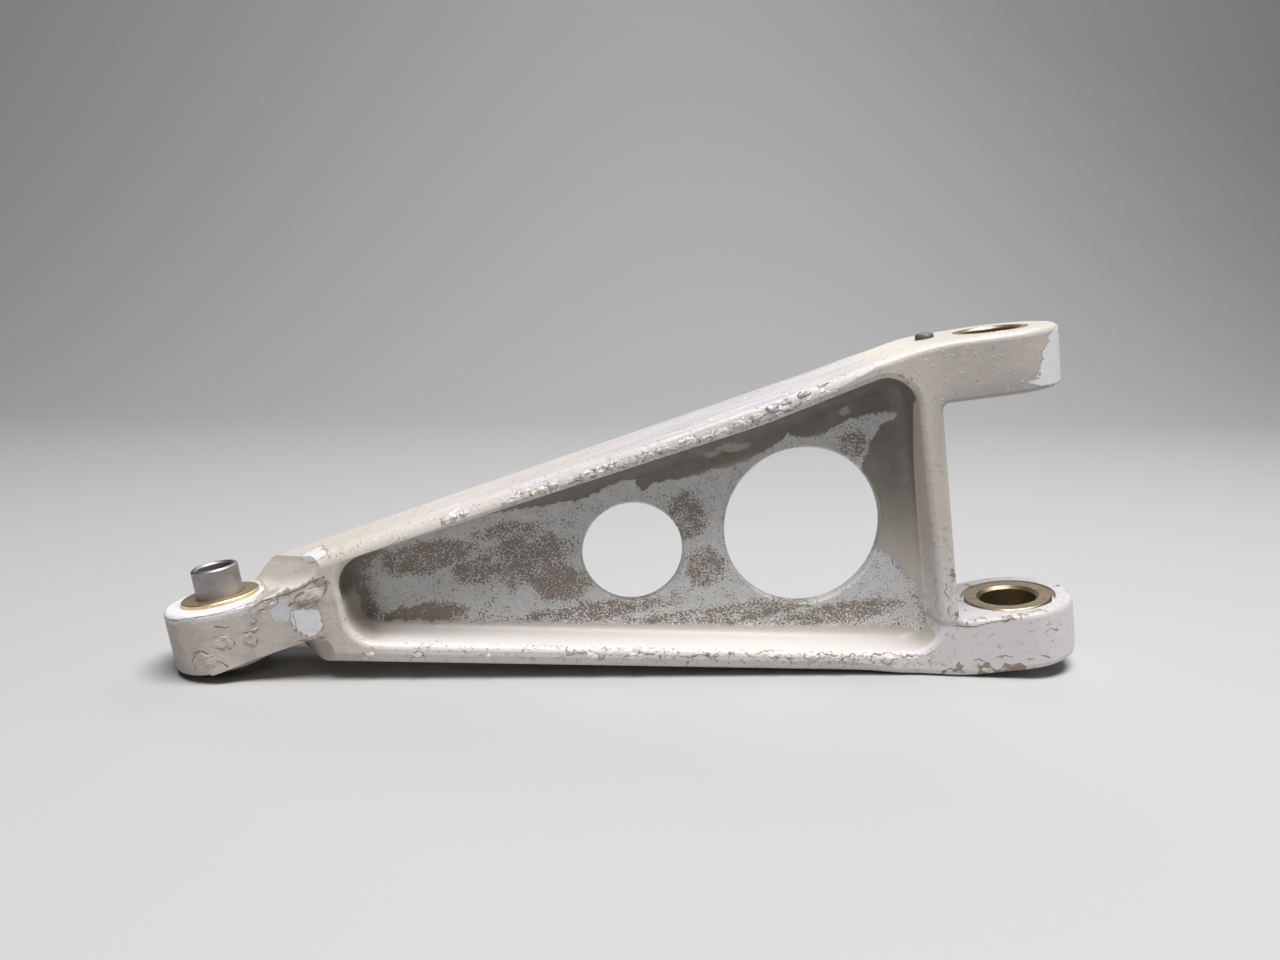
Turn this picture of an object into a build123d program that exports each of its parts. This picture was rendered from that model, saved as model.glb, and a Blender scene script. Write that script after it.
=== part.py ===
from build123d import *
import math
import os

# Torque link of an aircraft landing gear: a one-piece A-frame link with a
# single lug at the apex, a clevis of two lugs at the wide end, flanged bushes
# in all three lugs, a loose steel sleeve through the apex and a small plug.
#
# Millimetres. Modelling axes: X runs from the apex bore to the clevis bore,
# Z runs along the bores, Y runs through the thickness of the web (the web is
# the plane Y = 0). At the end everything is turned so that the link stands on
# its lower arm, and moved so that the origin is under the middle of the box.

# ---- overall layout -------------------------------------------------------
CENTRES = 230.9          # apex bore axis to clevis bore axis
HALF_W = 14.0            # half thickness of the frame in Y
ARM_Z0 = 9.8             # outer face of an arm: z = ARM_Z0 + ARM_SLOPE * x
ARM_SLOPE = 0.1877
FRAME_X0 = -10.0         # where the arms start inside the apex lug
SLOT_X = 210.0           # bottom of the clevis slot (outer face of the cross flange)
CROSS_T = 6.5            # thickness of the cross flange at the pocket mouth

# ---- clevis lugs ----------------------------------------------------------
CL_IN = 32.05            # inner face of a clevis lug above / below the middle
CL_OUT = 49.25           # outer face
CL_R = 18.25             # lug radius round the bore
CL_BORE_R = 10.5         # bore in the lug, = bush barrel
CL_CBORE_R = 13.75       # counterbore round the bush flange, on the inner face
CL_CBORE_D = 1.9
BEND_R = 60.0            # outer face: arm slope into the flat lug face
PLAN_X = 198.0           # where the plan starts to widen to the lug

# ---- apex lug -------------------------------------------------------------
AP_TOP = 5.0             # upper face of the apex lug
AP_BOT = -13.05          # lower face
AP_R = 15.5
AP_EDGE_R = 1.5          # rounding of its upper edge
AP_EDGE_FROM = 87.0      # degrees round the lug, from the neck, where that rounding is full
AP_EDGE_LOW_R = 2.0      # and its lower edge
AP_BORE_R = 7.95         # bore in the lug, = bush barrel
NECK_TOP_X0, NECK_TOP_X1, NECK_TOP_Z1 = 9.0, 31.0, 8.2     # ramp of the neck, upper side
NECK_BOT_X0, NECK_BOT_X1, NECK_BOT_Z1 = -2.0, 28.0, -7.1   # and lower side
BOSS_R = 12.2            # round boss left under the lower bush
SPOT_R = 11.6            # machined flat round the upper bush
NECK_BLEND_R = 20.0      # plan blend from the round lug to the straight neck

# relief for the mating link's arm: crest of its wall in plan, (x, y)
REL_FAR = (7.5, 22.0)
REL_KNEE = (27.5, -10.0)
REL_NEAR_TOP = (46.0, -22.0)
REL_NEAR_BOT = (44.0, -22.0)
REL_KNEE_R = 12.0
REL_LEAN_TOP, REL_R_TOP = (36.0, 8.0), 6.0     # lean of the wall from upright at the far
REL_LEAN_BOT, REL_R_BOT = (10.0, 10.0), 3.0    # and the near part, root fillet
REL_CREST = 13.0         # height of the crest above / below the middle

# ---- pockets, web and lightening holes -------------------------------------
WEB_T = 4.5
POCKET_X0 = 36.8         # left end of the pocket mouth
POCKET_CORNER_R = 9.0
POCKET_DRAFT = 4.0       # degrees
POCKET_ROOT_R = 4.5
HOLE_BIG_X, HOLE_BIG_R = 170.2, 23.55
HOLE_SMALL_X, HOLE_SMALL_R = 119.4, 14.85

# ---- edge rounding ---------------------------------------------------------
ARM_EDGE_R = 4.3         # larger rounding along the straight of each arm
ARM_RUN_X = 176.0        # where the larger rounding starts to run out
EDGE_R = 2.0             # outer edges round lugs and arms
RIM_R = 2.0              # pocket mouth
SLOT_CORNER_R = 2.0
SLOT_EDGE_R = 1.2
LUG_EDGE_R = 0.8
HOLE_EDGE_R = 0.5

# ---- bushes, sleeve, plug ---------------------------------------------------
CB_BORE_R = 8.15
CB_FLANGE_R = 12.65
CB_FLANGE_T = 1.9
AB_FLANGE_R = 10.6
AB_FLANGE_T = 1.15
AB_BARREL_L = 8.6
SLEEVE_R = 6.35          # half-inch outside diameter
SLEEVE_BORE_R = 4.78     # for a 3/8 inch bolt
SLEEVE_CLEAR = 0.04      # radial running clearance in the bushes
SLEEVE_TOP = 14.5
SLEEVE_BOT = -14.2
PLUG_X, PLUG_Y = 212.3, 2.0
PLUG_HEAD_R = 2.65
PLUG_PROUD = 1.4
PLUG_SEAT = 0.85         # head let into the lug by this much
PLUG_SHANK_R = 1.6
PLUG_SHANK_L = 5.0

SLOPE_ANG = math.atan(ARM_SLOPE)
COS_A = math.cos(SLOPE_ANG)


def arm_z(x):
    return ARM_Z0 + ARM_SLOPE * x


def prism_y(face, half):
    """Extrude a face of the XZ plane to both sides in Y."""
    return extrude(face, amount=half, both=True)


def xz(points):
    """Face in the XZ plane from (x, z) points."""
    return make_face(Polyline([Vector(x, 0, z) for x, z in points], close=True))


def xy(points, z=0.0):
    return make_face(Polyline([Vector(x, y, z) for x, y in points], close=True))


def cyl_z(x, y, r, z0, z1):
    return Pos(x, y, (z0 + z1) / 2) * Cylinder(r, abs(z1 - z0))


def solid_of(shape):
    """The one solid of a result, without its history."""
    return Solid(shape.solids().sort_by(SortBy.VOLUME)[-1].wrapped)


def hole_tool(x, r):
    """Hole through the web with a small chamfer at both faces (turned profile)."""
    h, c = WEB_T / 2, HOLE_EDGE_R
    prof = xz([(0, -5), (r + c + 5 - h, -5), (r, -h + c), (r, h - c), (r + c + 5 - h, 5), (0, 5)])
    return Pos(x, 0, 0) * Rot(90, 0, 0) * revolve(prof, axis=Axis.Z)


# ---------------------------------------------------------------------------
# 1  Frame: side outline (XZ) crossed with plan outline (XY)
# ---------------------------------------------------------------------------
x_bend = (CL_OUT - ARM_Z0) / ARM_SLOPE
t_bend = BEND_R * math.tan(SLOPE_ANG / 2)
x_end = CENTRES + CL_R + 5


def upper_edge():
    """Outer face of the upper arm and lug: slope, arc, flat."""
    p0 = Vector(FRAME_X0, 0, arm_z(FRAME_X0))
    pa = Vector(x_bend - t_bend * COS_A, 0, CL_OUT - t_bend * math.sin(SLOPE_ANG))
    pb = Vector(x_bend + t_bend, 0, CL_OUT)
    p1 = Vector(x_end, 0, CL_OUT)
    arc = TangentArc(pa, pb, tangent=(pa - p0).normalized())
    return p0, [Line(p0, pa), arc, Line(pb, p1)], p1


def flip(v):
    return Vector(v.X, v.Y, -v.Z)


p0, up, p1 = upper_edge()
pi = Vector(x_end, 0, CL_IN)
ps = Vector(SLOT_X, 0, CL_IN)
outline = up + [Line(p1, pi), Line(pi, ps), Line(ps, flip(ps)),
                Line(flip(ps), flip(pi)), Line(flip(pi), flip(p1))]
outline += [e.mirror(Plane.XY) for e in up] + [Line(flip(p0), p0)]
side = prism_y(make_face(Curve() + outline), 25)

# plan: straight at +-HALF_W, then widening on a tangent to the lug circle
dx, dy = CENTRES - PLAN_X, -HALF_W
dist = math.hypot(dx, dy)
# tangent from (PLAN_X, HALF_W) to the circle round (CENTRES, 0)
base = math.atan2(-HALF_W, dx)
ang = base + math.asin(CL_R / dist)
tl = math.sqrt(dist * dist - CL_R * CL_R)
tx, ty = PLAN_X + tl * math.cos(ang), HALF_W + tl * math.sin(ang)
plan = make_face(Polyline([Vector(FRAME_X0, -HALF_W), Vector(PLAN_X, -HALF_W), Vector(tx, -ty),
                           Vector(tx, ty), Vector(PLAN_X, HALF_W), Vector(FRAME_X0, HALF_W)], close=True))
plan = plan + Pos(CENTRES, 0, 0) * Circle(CL_R)
plan = fillet([v for v in plan.vertices() if abs(v.X - PLAN_X) < 0.01], 40.0)
frame = side & extrude(plan, amount=70, both=True)
frame = solid_of(frame)

# round the slot corners, then the outer edges, then the slot's own edges
frame = fillet([e for e in frame.edges()
                if abs(e.center().X - SLOT_X) < 0.05 and abs(abs(e.center().Z) - CL_IN) < 0.05
                and abs(e.center().Y) < 0.05], SLOT_CORNER_R)


def on_outer(e):
    c = [e.position_at(t) for t in (0.0, 0.5, 1.0)]
    for p in c:
        if p.X < FRAME_X0 + 0.01 and all(q.X < FRAME_X0 + 0.01 for q in c):
            return False
        zt = min(CL_OUT, arm_z(p.X))
        if abs(abs(p.Z) - zt) > 0.6:
            return False
    # not the cross lines on the outer face: both ends on the plan outline
    return all(abs(p.Y) > HALF_W - 0.3 or p.X > CENTRES for p in c)


outer = [e for e in frame.edges() if on_outer(e)]
frame = solid_of(fillet(outer, EDGE_R))


def arm_rounding():
    """Cutter for the large rounding on one outer corner of the upper arm.

    It follows the straight arm and then lifts off outwards, so that the large
    rounding fades into the smaller one of the lug."""
    d = Vector(COS_A, 0, math.sin(SLOPE_ANG))
    n = Vector(-math.sin(SLOPE_ANG), 0, COS_A)
    b = Vector(0, -1, 0)
    u = (n + b).normalized()
    start = Vector(-12, -HALF_W, arm_z(-12))
    lift = Vector(ARM_RUN_X, -HALF_W, arm_z(ARM_RUN_X))
    run, rise = 28.0, 2.6
    path = Wire([Line(start, lift), TangentArc(lift, lift + d * run + u * rise, tangent=d)])
    r = ARM_EDGE_R
    sec = Pos((1.5 - r) / 2, (1.5 - r) / 2) * Rectangle(r + 1.5, r + 1.5)
    sec = sec - Pos(-r, -r) * Circle(r + 0.05)
    section = Plane(origin=start, x_dir=n, z_dir=d) * sec
    return solid_of(sweep(section, path=path))


cutter = arm_rounding()
print("cutter", round(cutter.volume, 1), cutter.is_valid, cutter.bounding_box())
for c in (cutter, cutter.mirror(Plane.XZ), cutter.mirror(Plane.XY), cutter.mirror(Plane.XY).mirror(Plane.XZ)):
    frame = solid_of(frame - c)
    print("rounded", round(frame.volume), frame.is_valid)

# ---------------------------------------------------------------------------
# 2  Apex lug and neck: round lug blended into a neck as wide as the frame
# ---------------------------------------------------------------------------
apex_plan = make_face(Polyline([Vector(0, -HALF_W), Vector(42, -HALF_W), Vector(42, HALF_W),
                                Vector(0, HALF_W)], close=True)) + Circle(AP_R)
corners = [v for v in apex_plan.vertices()
           if 4 < v.X < 9 and abs(abs(v.Y) - HALF_W) < 0.01]
apex_plan = fillet(corners, NECK_BLEND_R)
block = Pos(0, 0, AP_BOT) * extrude(apex_plan, amount=AP_TOP + 1 - AP_BOT)
# the arms run on over the neck, but not past the outline of the lug
frame = solid_of(frame & extrude(apex_plan + Pos(150, 0, 0) * Rectangle(250, 60), amount=70, both=True))


# relief cuts above and below the neck: ramped floor and a leaning wall that
# crosses the neck at an angle and opens out towards the front face
def apex_side(p, q, side, lean):
    """Everything on the apex side of the leaning wall whose crest runs p to q."""
    d = Vector(q[0] - p[0], q[1] - p[1]).normalized()
    a = math.radians(lean)
    out = Vector(-d.Y * math.cos(a), d.X * math.cos(a), -side * math.sin(a))
    return Plane(origin=(p[0], p[1], side * REL_CREST), z_dir=out) * Pos(0, 0, -150) * Box(300, 300, 300)


def relief(x0, z0, x1, z1, side, near, lean, r):
    walls = apex_side(REL_FAR, REL_KNEE, side, lean[0]) + apex_side(REL_KNEE, near, side, lean[1])
    slope = (z1 - z0) / (x1 - x0)
    above = prism_y(xz([(-60, z0 + slope * (-60 - x0)), (70, z0 + slope * (70 - x0)),
                        (70, side * 45), (-60, side * 45)]), 20.5)
    tool = solid_of(walls & above)
    knee = [e for e in tool.edges() if abs(e.center().Y) < 16 and e.center().X > 10
            and abs(e.tangent_at(0.5).Z) > 0.5 and e.length > 10]
    tool = solid_of(fillet(knee, REL_KNEE_R))
    floor = [f for f in tool.faces() if f.geom_type == GeomType.PLANE
             and abs(abs(f.normal_at().Z) - math.cos(math.atan(slope))) < 1e-4
             and abs(f.center().Z) < 30]
    foot = [e for e in floor[0].edges() if e.center().X > -20 and abs(e.center().Y) < 20]
    print("knee", len(knee), "floor", len(floor), "foot", len(foot))
    return solid_of(fillet(foot, r))


block_side = xy([(-60, 22), REL_FAR, REL_KNEE, REL_NEAR_BOT, (-60, -22)])
# below the middle it stops a little before the crest at the back, where the arm's own rounding takes over
low_side = xy([(-60, 22), (REL_FAR[0] - 3.0, 22), (REL_KNEE[0] - 3.0, REL_KNEE[1]), REL_KNEE, REL_NEAR_BOT, (-60, -22)])
block = (block & extrude(block_side, amount=60)) + (block & extrude(low_side, amount=-60))
top_cut = relief(NECK_TOP_X0, AP_TOP, NECK_TOP_X1, NECK_TOP_Z1, 1,
                 REL_NEAR_TOP, REL_LEAN_TOP, REL_R_TOP)
top_cut = top_cut & Pos(0, 0, AP_TOP + 50) * Box(300, 100, 100)
bot_cut = relief(NECK_BOT_X0, AP_BOT, NECK_BOT_X1, NECK_BOT_Z1, -1,
                 REL_NEAR_BOT, REL_LEAN_BOT, REL_R_BOT)
bot_cut = bot_cut - cyl_z(0, 0, BOSS_R, AP_BOT, 0)
body = solid_of(frame + block - top_cut - bot_cut)
print("body with apex", round(body.volume), body.is_valid)


def lug_rounding():
    """Cutter that rounds the lug's upper edge. It comes in from outside where the lug's flat
    face begins at the back, runs round the front and lifts off with the ramp of the neck."""
    r = AP_EDGE_R
    ends = [e for e in apex_plan.edges() if e.geom_type == GeomType.CIRCLE]
    blends = [e for e in ends if e.center().X > 2]
    a0 = math.degrees(math.acos(max(p.X for e in ends if e.center().X < 2
                                    for p in (e.position_at(0), e.position_at(1))) / AP_R))
    blend = min(blends, key=lambda e: e.center().Y)
    pts = sorted([blend.position_at(0), blend.position_at(1)], key=lambda p: p.X)
    round_front = CenterArc((0, 0, 0), AP_R, AP_EDGE_FROM, 360.0 - a0 - AP_EDGE_FROM)
    q0, far = round_front.position_at(0), Vector(8.5, 17.4)
    away = TangentArc(q0, far, tangent=-round_front.tangent_at(0))
    run_in = TangentArc(far, q0, tangent=-away.tangent_at(1))
    p0, p1 = round_front.position_at(1), pts[1]
    run = TangentArc(pts[0], p1, tangent=round_front.tangent_at(1))
    off = Spline([p1, p1 + Vector(5.0, -0.35, 0.62 + 0.145 * 3), p1 + Vector(9.0, -1.2, 2.6)],
                 tangents=[run.tangent_at(1), Vector(1, -0.3, 0.6)])
    path = Pos(0, 0, AP_TOP) * Wire([run_in, round_front, run, off])
    start, ahead = path.position_at(0), path.tangent_at(0)
    out = Vector(ahead.Y, -ahead.X).normalized()
    sec = Pos((1.2 - r) / 2, (1.2 - r) / 2) * Rectangle(r + 1.2, r + 1.2) - Pos(-r, -r) * Circle(r + 0.03)
    section = Plane(origin=start, x_dir=out, z_dir=-ahead) * sec
    print("section", section.area, start, ahead, out)
    return solid_of(sweep(section, path=path))


rim = [e for e in body.edges() if abs(e.center().Z - AP_BOT) < 0.02 and e.center().X < 0
       and e.length > 20 and math.hypot(e.position_at(0.5).X, e.position_at(0.5).Y) > AP_R - 0.1]
body = solid_of(fillet(rim, AP_EDGE_LOW_R))
print("lug rounded below", round(body.volume), body.is_valid)
top_round = lug_rounding()
print("tool", round(top_round.volume, 1), top_round.is_valid, top_round.bounding_box())
body = solid_of(body - top_round)
print("lug rounded above", round(body.volume), body.is_valid)

# ---------------------------------------------------------------------------
# 3  Pockets on both faces, lightening holes
# ---------------------------------------------------------------------------
x_r = SLOT_X - CROSS_T


def rim_up(x):
    """Inner edge of the upper arm at the pocket mouth."""
    if x <= 160:
        return 14.1 + 0.1677 * (x - 44.8)
    return rim_up(160) + 0.2345 * (x - 160)


def rim_low(x):
    """Inner edge of the lower arm, whose lip is a little thicker."""
    return -(3.2 + 0.1885 * x)


mouth = xz([(POCKET_X0, rim_up(POCKET_X0)), (160, rim_up(160)), (x_r, rim_up(x_r)),
            (x_r + 1.5, rim_low(x_r + 1.5)), (POCKET_X0 + 0.6, rim_low(POCKET_X0 + 0.6))])
mouth = fillet([v for v in mouth.vertices() if abs(v.X - 160) > 1], POCKET_CORNER_R)
mouth = fillet([v for v in mouth.vertices() if abs(v.X - 160) < 0.1], 80.0)

depth = HALF_W - WEB_T / 2
grow = 1.0                       # the tool starts outside the frame
wide = offset(mouth, amount=grow * math.tan(math.radians(POCKET_DRAFT)))
wide = wide.faces()[0]
pocket = extrude(Pos(0, -HALF_W - grow, 0) * wide, amount=depth + grow, dir=(0, 1, 0),
                 taper=POCKET_DRAFT)
pocket = solid_of(pocket)
print("pocket", round(pocket.volume), pocket.is_valid, pocket.bounding_box())
floor_edges = pocket.faces().sort_by(Axis.Y)[-1].edges()
pocket = fillet(floor_edges, POCKET_ROOT_R)
# a lid over the mouth, lying on the frame, gives the inside corner that rounds the rim
lid = offset(mouth, amount=4.5).faces()[0]
lid = extrude(Pos(0, -HALF_W - 4, 0) * lid, amount=8, dir=(0, 1, 0)) - frame
lid = solid_of(lid & Pos(0, -HALF_W - 4, 0) * Box(600, 8.001, 300))
pocket = solid_of(pocket + lid)
mouth_wire = mouth.faces()[0].outer_wire()


def on_rim(e):
    """An edge where the pocket wall comes out of the frame's face."""
    on = [e.position_at(t) for t in (0.02, 0.5, 0.98)]
    return all(-HALF_W - 1.5 < p.Y < -HALF_W + 0.01 and mouth_wire.distance_to(Vertex(p.X, 0, p.Z)) < 0.4 for p in on)


rims = [e for e in pocket.edges() if on_rim(e)]
print("lid", lid.is_valid, "pocket", pocket.is_valid)
print("rims", len(rims))
pocket = fillet(rims, RIM_R)
pocket = Pos(0, -0.03, 0) * pocket
body = body - pocket - pocket.mirror(Plane.XZ)
for x, r in ((HOLE_BIG_X, HOLE_BIG_R), (HOLE_SMALL_X, HOLE_SMALL_R)):
    body = body - hole_tool(x, r)
body = solid_of(body)
print("pocketed", round(body.volume), body.is_valid)

# ---------------------------------------------------------------------------
# 4  Slot and lug inner edges
# ---------------------------------------------------------------------------
slot_edges = [e for e in body.edges()
              if abs(e.center().Y) > 13 and e.center().X > SLOT_X - 1 and abs(e.center().Z) < CL_IN + 0.1
              or (abs(abs(e.center().Z) - CL_IN) < 0.05 and e.center().X > SLOT_X)]
print("slot edges", len(slot_edges))
body = solid_of(fillet(slot_edges, SLOT_EDGE_R))
print("slot done", round(body.volume), body.is_valid)

# ---------------------------------------------------------------------------
# 5  Bores
# ---------------------------------------------------------------------------
body -= cyl_z(CENTRES, 0, CL_BORE_R, -60, 60)
for s in (1, -1):
    body -= cyl_z(CENTRES, 0, CL_CBORE_R, s * 28, s * (CL_IN + CL_CBORE_D))
body -= cyl_z(0, 0, AP_BORE_R, -20, 20)
body -= cyl_z(0, 0, SPOT_R, AP_TOP, AP_TOP + 20)
body -= cyl_z(PLUG_X, PLUG_Y, PLUG_HEAD_R, CL_OUT - PLUG_SEAT, 60)
body -= cyl_z(PLUG_X, PLUG_Y, PLUG_SHANK_R, CL_OUT - PLUG_SEAT - PLUG_SHANK_L, 60)
body = solid_of(body)
print("body", round(body.volume), body.is_valid, len(body.faces()))

# ---------------------------------------------------------------------------
# 6  Bushes, sleeve, plug
# ---------------------------------------------------------------------------
def turned(points):
    """Solid of revolution about Z from (radius, z) points."""
    return solid_of(revolve(xz(points), axis=Axis.Z))


def clevis_bush():
    """Barrel outwards, flange in the counterbore of the inner face, upper lug."""
    zf, zb, zo, c = CL_IN, CL_IN + CL_CBORE_D, CL_OUT, 0.9
    return turned([(CB_BORE_R + c, zf), (CB_FLANGE_R - 0.3, zf), (CB_FLANGE_R, zf + 0.3),
                   (CB_FLANGE_R, zb), (CL_BORE_R, zb), (CL_BORE_R, zo - 0.4), (CL_BORE_R - 0.4, zo),
                   (CB_BORE_R + 0.6, zo), (CB_BORE_R, zo - 0.6), (CB_BORE_R, zf + c)])


def apex_bush(face, side):
    """Flange on the lug face, barrel inwards; side is +1 above, -1 below."""
    r_in = SLEEVE_R + SLEEVE_CLEAR
    zt, zl = face + side * AB_FLANGE_T, face - side * AB_BARREL_L
    return turned([(r_in + 0.5, zt), (AB_FLANGE_R - 0.25, zt), (AB_FLANGE_R, zt - side * 0.25),
                   (AB_FLANGE_R, face), (AP_BORE_R, face), (AP_BORE_R, zl + side * 0.4),
                   (AP_BORE_R - 0.4, zl), (r_in, zl), (r_in, zt - side * 0.5)])


sleeve = turned([(SLEEVE_BORE_R + 0.55, SLEEVE_TOP), (SLEEVE_R - 0.45, SLEEVE_TOP),
                 (SLEEVE_R, SLEEVE_TOP - 0.45), (SLEEVE_R, SLEEVE_BOT + 0.45),
                 (SLEEVE_R - 0.45, SLEEVE_BOT), (SLEEVE_BORE_R + 0.55, SLEEVE_BOT),
                 (SLEEVE_BORE_R, SLEEVE_BOT + 0.55), (SLEEVE_BORE_R, SLEEVE_TOP - 0.55)])

z_seat = CL_OUT - PLUG_SEAT
z_head = CL_OUT + PLUG_PROUD
plug = turned([(0, z_head), (PLUG_HEAD_R - 0.7, z_head), (PLUG_HEAD_R - 0.2, z_head - 0.25),
               (PLUG_HEAD_R, z_head - 0.7), (PLUG_HEAD_R, z_seat), (PLUG_SHANK_R, z_seat),
               (PLUG_SHANK_R, z_seat - PLUG_SHANK_L + 0.4), (PLUG_SHANK_R - 0.4, z_seat - PLUG_SHANK_L),
               (0, z_seat - PLUG_SHANK_L)])

upper = clevis_bush()
nodes = {
    "link_body": body,
    "clevis_bush_upper": Pos(CENTRES, 0, 0) * upper,
    "clevis_bush_lower": Pos(CENTRES, 0, 0) * solid_of(upper.mirror(Plane.XY)),
    "apex_bush_upper": apex_bush(AP_TOP, 1),
    "apex_bush_lower": apex_bush(AP_BOT, -1),
    "apex_sleeve": sleeve,
    "arm_plug": Pos(PLUG_X, PLUG_Y, 0) * plug,
}

# ---------------------------------------------------------------------------
# 7  Stand the link on its lower bush flange and the bend of its lower arm
# ---------------------------------------------------------------------------
foot = (-(AB_FLANGE_R - 0.25), AP_BOT - AB_FLANGE_T)
bend = (x_bend + t_bend, BEND_R - CL_OUT)
lo, hi = 0.0, SLOPE_ANG
for _ in range(60):
    tilt = (lo + hi) / 2
    s_, c_ = math.sin(tilt), math.cos(tilt)
    if s_ * foot[0] + c_ * foot[1] > s_ * bend[0] + c_ * bend[1] - BEND_R:
        lo = tilt
    else:
        hi = tilt
print("tilt", math.degrees(tilt))
turn = Rot(0, -math.degrees(tilt), 0)
nodes = {n: turn * s for n, s in nodes.items()}
box = Compound(children=[Compound(s.wrapped) for s in nodes.values()]).bounding_box()
shift = Pos(-(box.min.X + box.max.X) / 2, -(box.min.Y + box.max.Y) / 2, -box.min.Z)
os.makedirs("parts", exist_ok=True)
for name, shape in nodes.items():
    shape = shift * shape
    b = shape.bounding_box()
    print(name, [round(v, 3) for v in (b.min.X, b.min.Y, b.min.Z, b.max.X, b.max.Y, b.max.Z)],
          shape.is_valid, round(shape.volume, 1))
    export_step(shape, f"parts/{name}.step")
for label, p in (("apex", (0, 0, 0)), ("clevis", (CENTRES, 0, 0))):
    q = (shift * turn * Pos(*p)).position
    print(label, [round(v, 3) for v in q])
q = (shift * turn).position
print("shift", [round(v, 4) for v in q])
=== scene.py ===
import math

import bpy
import numpy as np
from mathutils import Matrix, Vector
from mathutils.bvhtree import BVHTree


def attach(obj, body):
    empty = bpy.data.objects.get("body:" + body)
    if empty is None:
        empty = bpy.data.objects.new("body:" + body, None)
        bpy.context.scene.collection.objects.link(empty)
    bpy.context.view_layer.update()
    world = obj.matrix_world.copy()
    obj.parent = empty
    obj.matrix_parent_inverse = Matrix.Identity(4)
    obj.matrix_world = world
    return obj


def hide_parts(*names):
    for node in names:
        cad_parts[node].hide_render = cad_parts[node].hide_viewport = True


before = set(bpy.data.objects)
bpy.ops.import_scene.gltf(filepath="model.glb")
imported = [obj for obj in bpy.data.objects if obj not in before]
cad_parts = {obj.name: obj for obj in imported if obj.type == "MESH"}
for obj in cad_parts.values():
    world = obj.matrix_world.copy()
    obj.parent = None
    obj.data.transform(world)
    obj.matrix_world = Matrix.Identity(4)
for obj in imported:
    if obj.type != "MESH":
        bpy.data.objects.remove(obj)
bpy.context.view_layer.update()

scene = bpy.context.scene

# ---------------------------------------------------------------- the link's own frame
# x runs from the apex axis to the clevis axis, y up along the bores and z out of the
# photographed face, all in mm. The link stands tilted by TILT on its floor.
TILT = math.radians(8.996365431080815)
AX, AZ = -118.7973, 15.6438
CT, ST = math.cos(TILT), math.sin(TILT)


def row(x, y, z):
    return Vector(((CT * x - ST * y + AX) / 1000, -z / 1000, (ST * x + CT * y + AZ) / 1000))


def turned(x, y, z):
    return Vector((CT * x - ST * y, -z, ST * x + CT * y))


# ---------------------------------------------------------------- camera
CAM_AT = Vector((-0.019606, -0.275628, 0.108806))
CAM_RIGHT = Vector((0.997327, -0.070865, 0.017819))
CAM_UP = Vector((-0.004027, 0.190183, 0.98174))
CAM_FWD = Vector((0.07296, 0.979188, -0.189389))

cam_data = bpy.data.cameras.new("camera")
cam_data.sensor_fit = "HORIZONTAL"
cam_data.sensor_width = 36.0
cam_data.lens = 27.2363
cam_data.clip_start = 0.01
cam_data.clip_end = 20.0
cam = bpy.data.objects.new("camera", cam_data)
scene.collection.objects.link(cam)
m = Matrix.Identity(4)
for r in range(3):
    m[r][0], m[r][1], m[r][2], m[r][3] = CAM_RIGHT[r], CAM_UP[r], -CAM_FWD[r], CAM_AT[r]
cam.matrix_world = m
scene.camera = cam

# ---------------------------------------------------------------- light
scene.view_settings.view_transform = "Standard"
scene.view_settings.look = "None"
scene.view_settings.exposure = 0.0
scene.view_settings.gamma = 1.0

world = bpy.data.worlds.new("studio")
scene.world = world
world.use_nodes = True
wt = world.node_tree
wt.nodes.clear()
w_out = wt.nodes.new("ShaderNodeOutputWorld")
w_bg = wt.nodes.new("ShaderNodeBackground")
w_bg.inputs["Color"].default_value = (0.95, 0.97, 1.0, 1.0)
w_bg.inputs["Strength"].default_value = 0.07
wt.links.new(w_bg.outputs[0], w_out.inputs[0])


def softbox(name, at, aim, size, power, colour):
    data = bpy.data.lights.new(name, "AREA")
    data.shape = "RECTANGLE"
    data.size, data.size_y = size
    data.energy = power
    data.color = colour
    o = bpy.data.objects.new(name, data)
    scene.collection.objects.link(o)
    o.location = at
    o.rotation_mode = "QUATERNION"
    o.rotation_quaternion = (Vector(aim) - Vector(at)).to_track_quat("-Z", "Y")
    return o


softbox("softbox_top", (0.13, -0.22, 1.02), (0.0, 0.0, 0.04), (0.80, 0.36), 18.4, (0.995, 0.99, 1.0))
softbox("softbox_back", (0.35, 0.75, 0.85), (0.0, 0.0, 0.04), (0.8, 0.4), 2.0, (0.93, 0.96, 1.0))

# ---------------------------------------------------------------- floor
me = bpy.data.meshes.new("floor")
verts, faces = [], []
prof = [(-6.0, 0.0), (0.55, 0.0)]
for k in range(1, 13):
    a = math.pi / 2 * k / 12
    prof.append((0.55 + 0.5 * math.sin(a), 0.5 - 0.5 * math.cos(a)))
prof.append((1.05, 5.0))
for y, z in prof:
    verts += [(-9.0, y, z), (9.0, y, z)]
for k in range(len(prof) - 1):
    faces.append((2 * k, 2 * k + 1, 2 * k + 3, 2 * k + 2))
me.from_pydata(verts, [], faces)
me.shade_smooth()
floor = bpy.data.objects.new("floor", me)
scene.collection.objects.link(floor)
mat = bpy.data.materials.new("floor_matte")
mat.use_nodes = True
b = mat.node_tree.nodes["Principled BSDF"]
b.inputs["Base Color"].default_value = (0.44, 0.44, 0.435, 1)
b.inputs["Roughness"].default_value = 0.9
b.inputs["Specular IOR Level"].default_value = 0.2
me.materials.append(mat)


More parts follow.
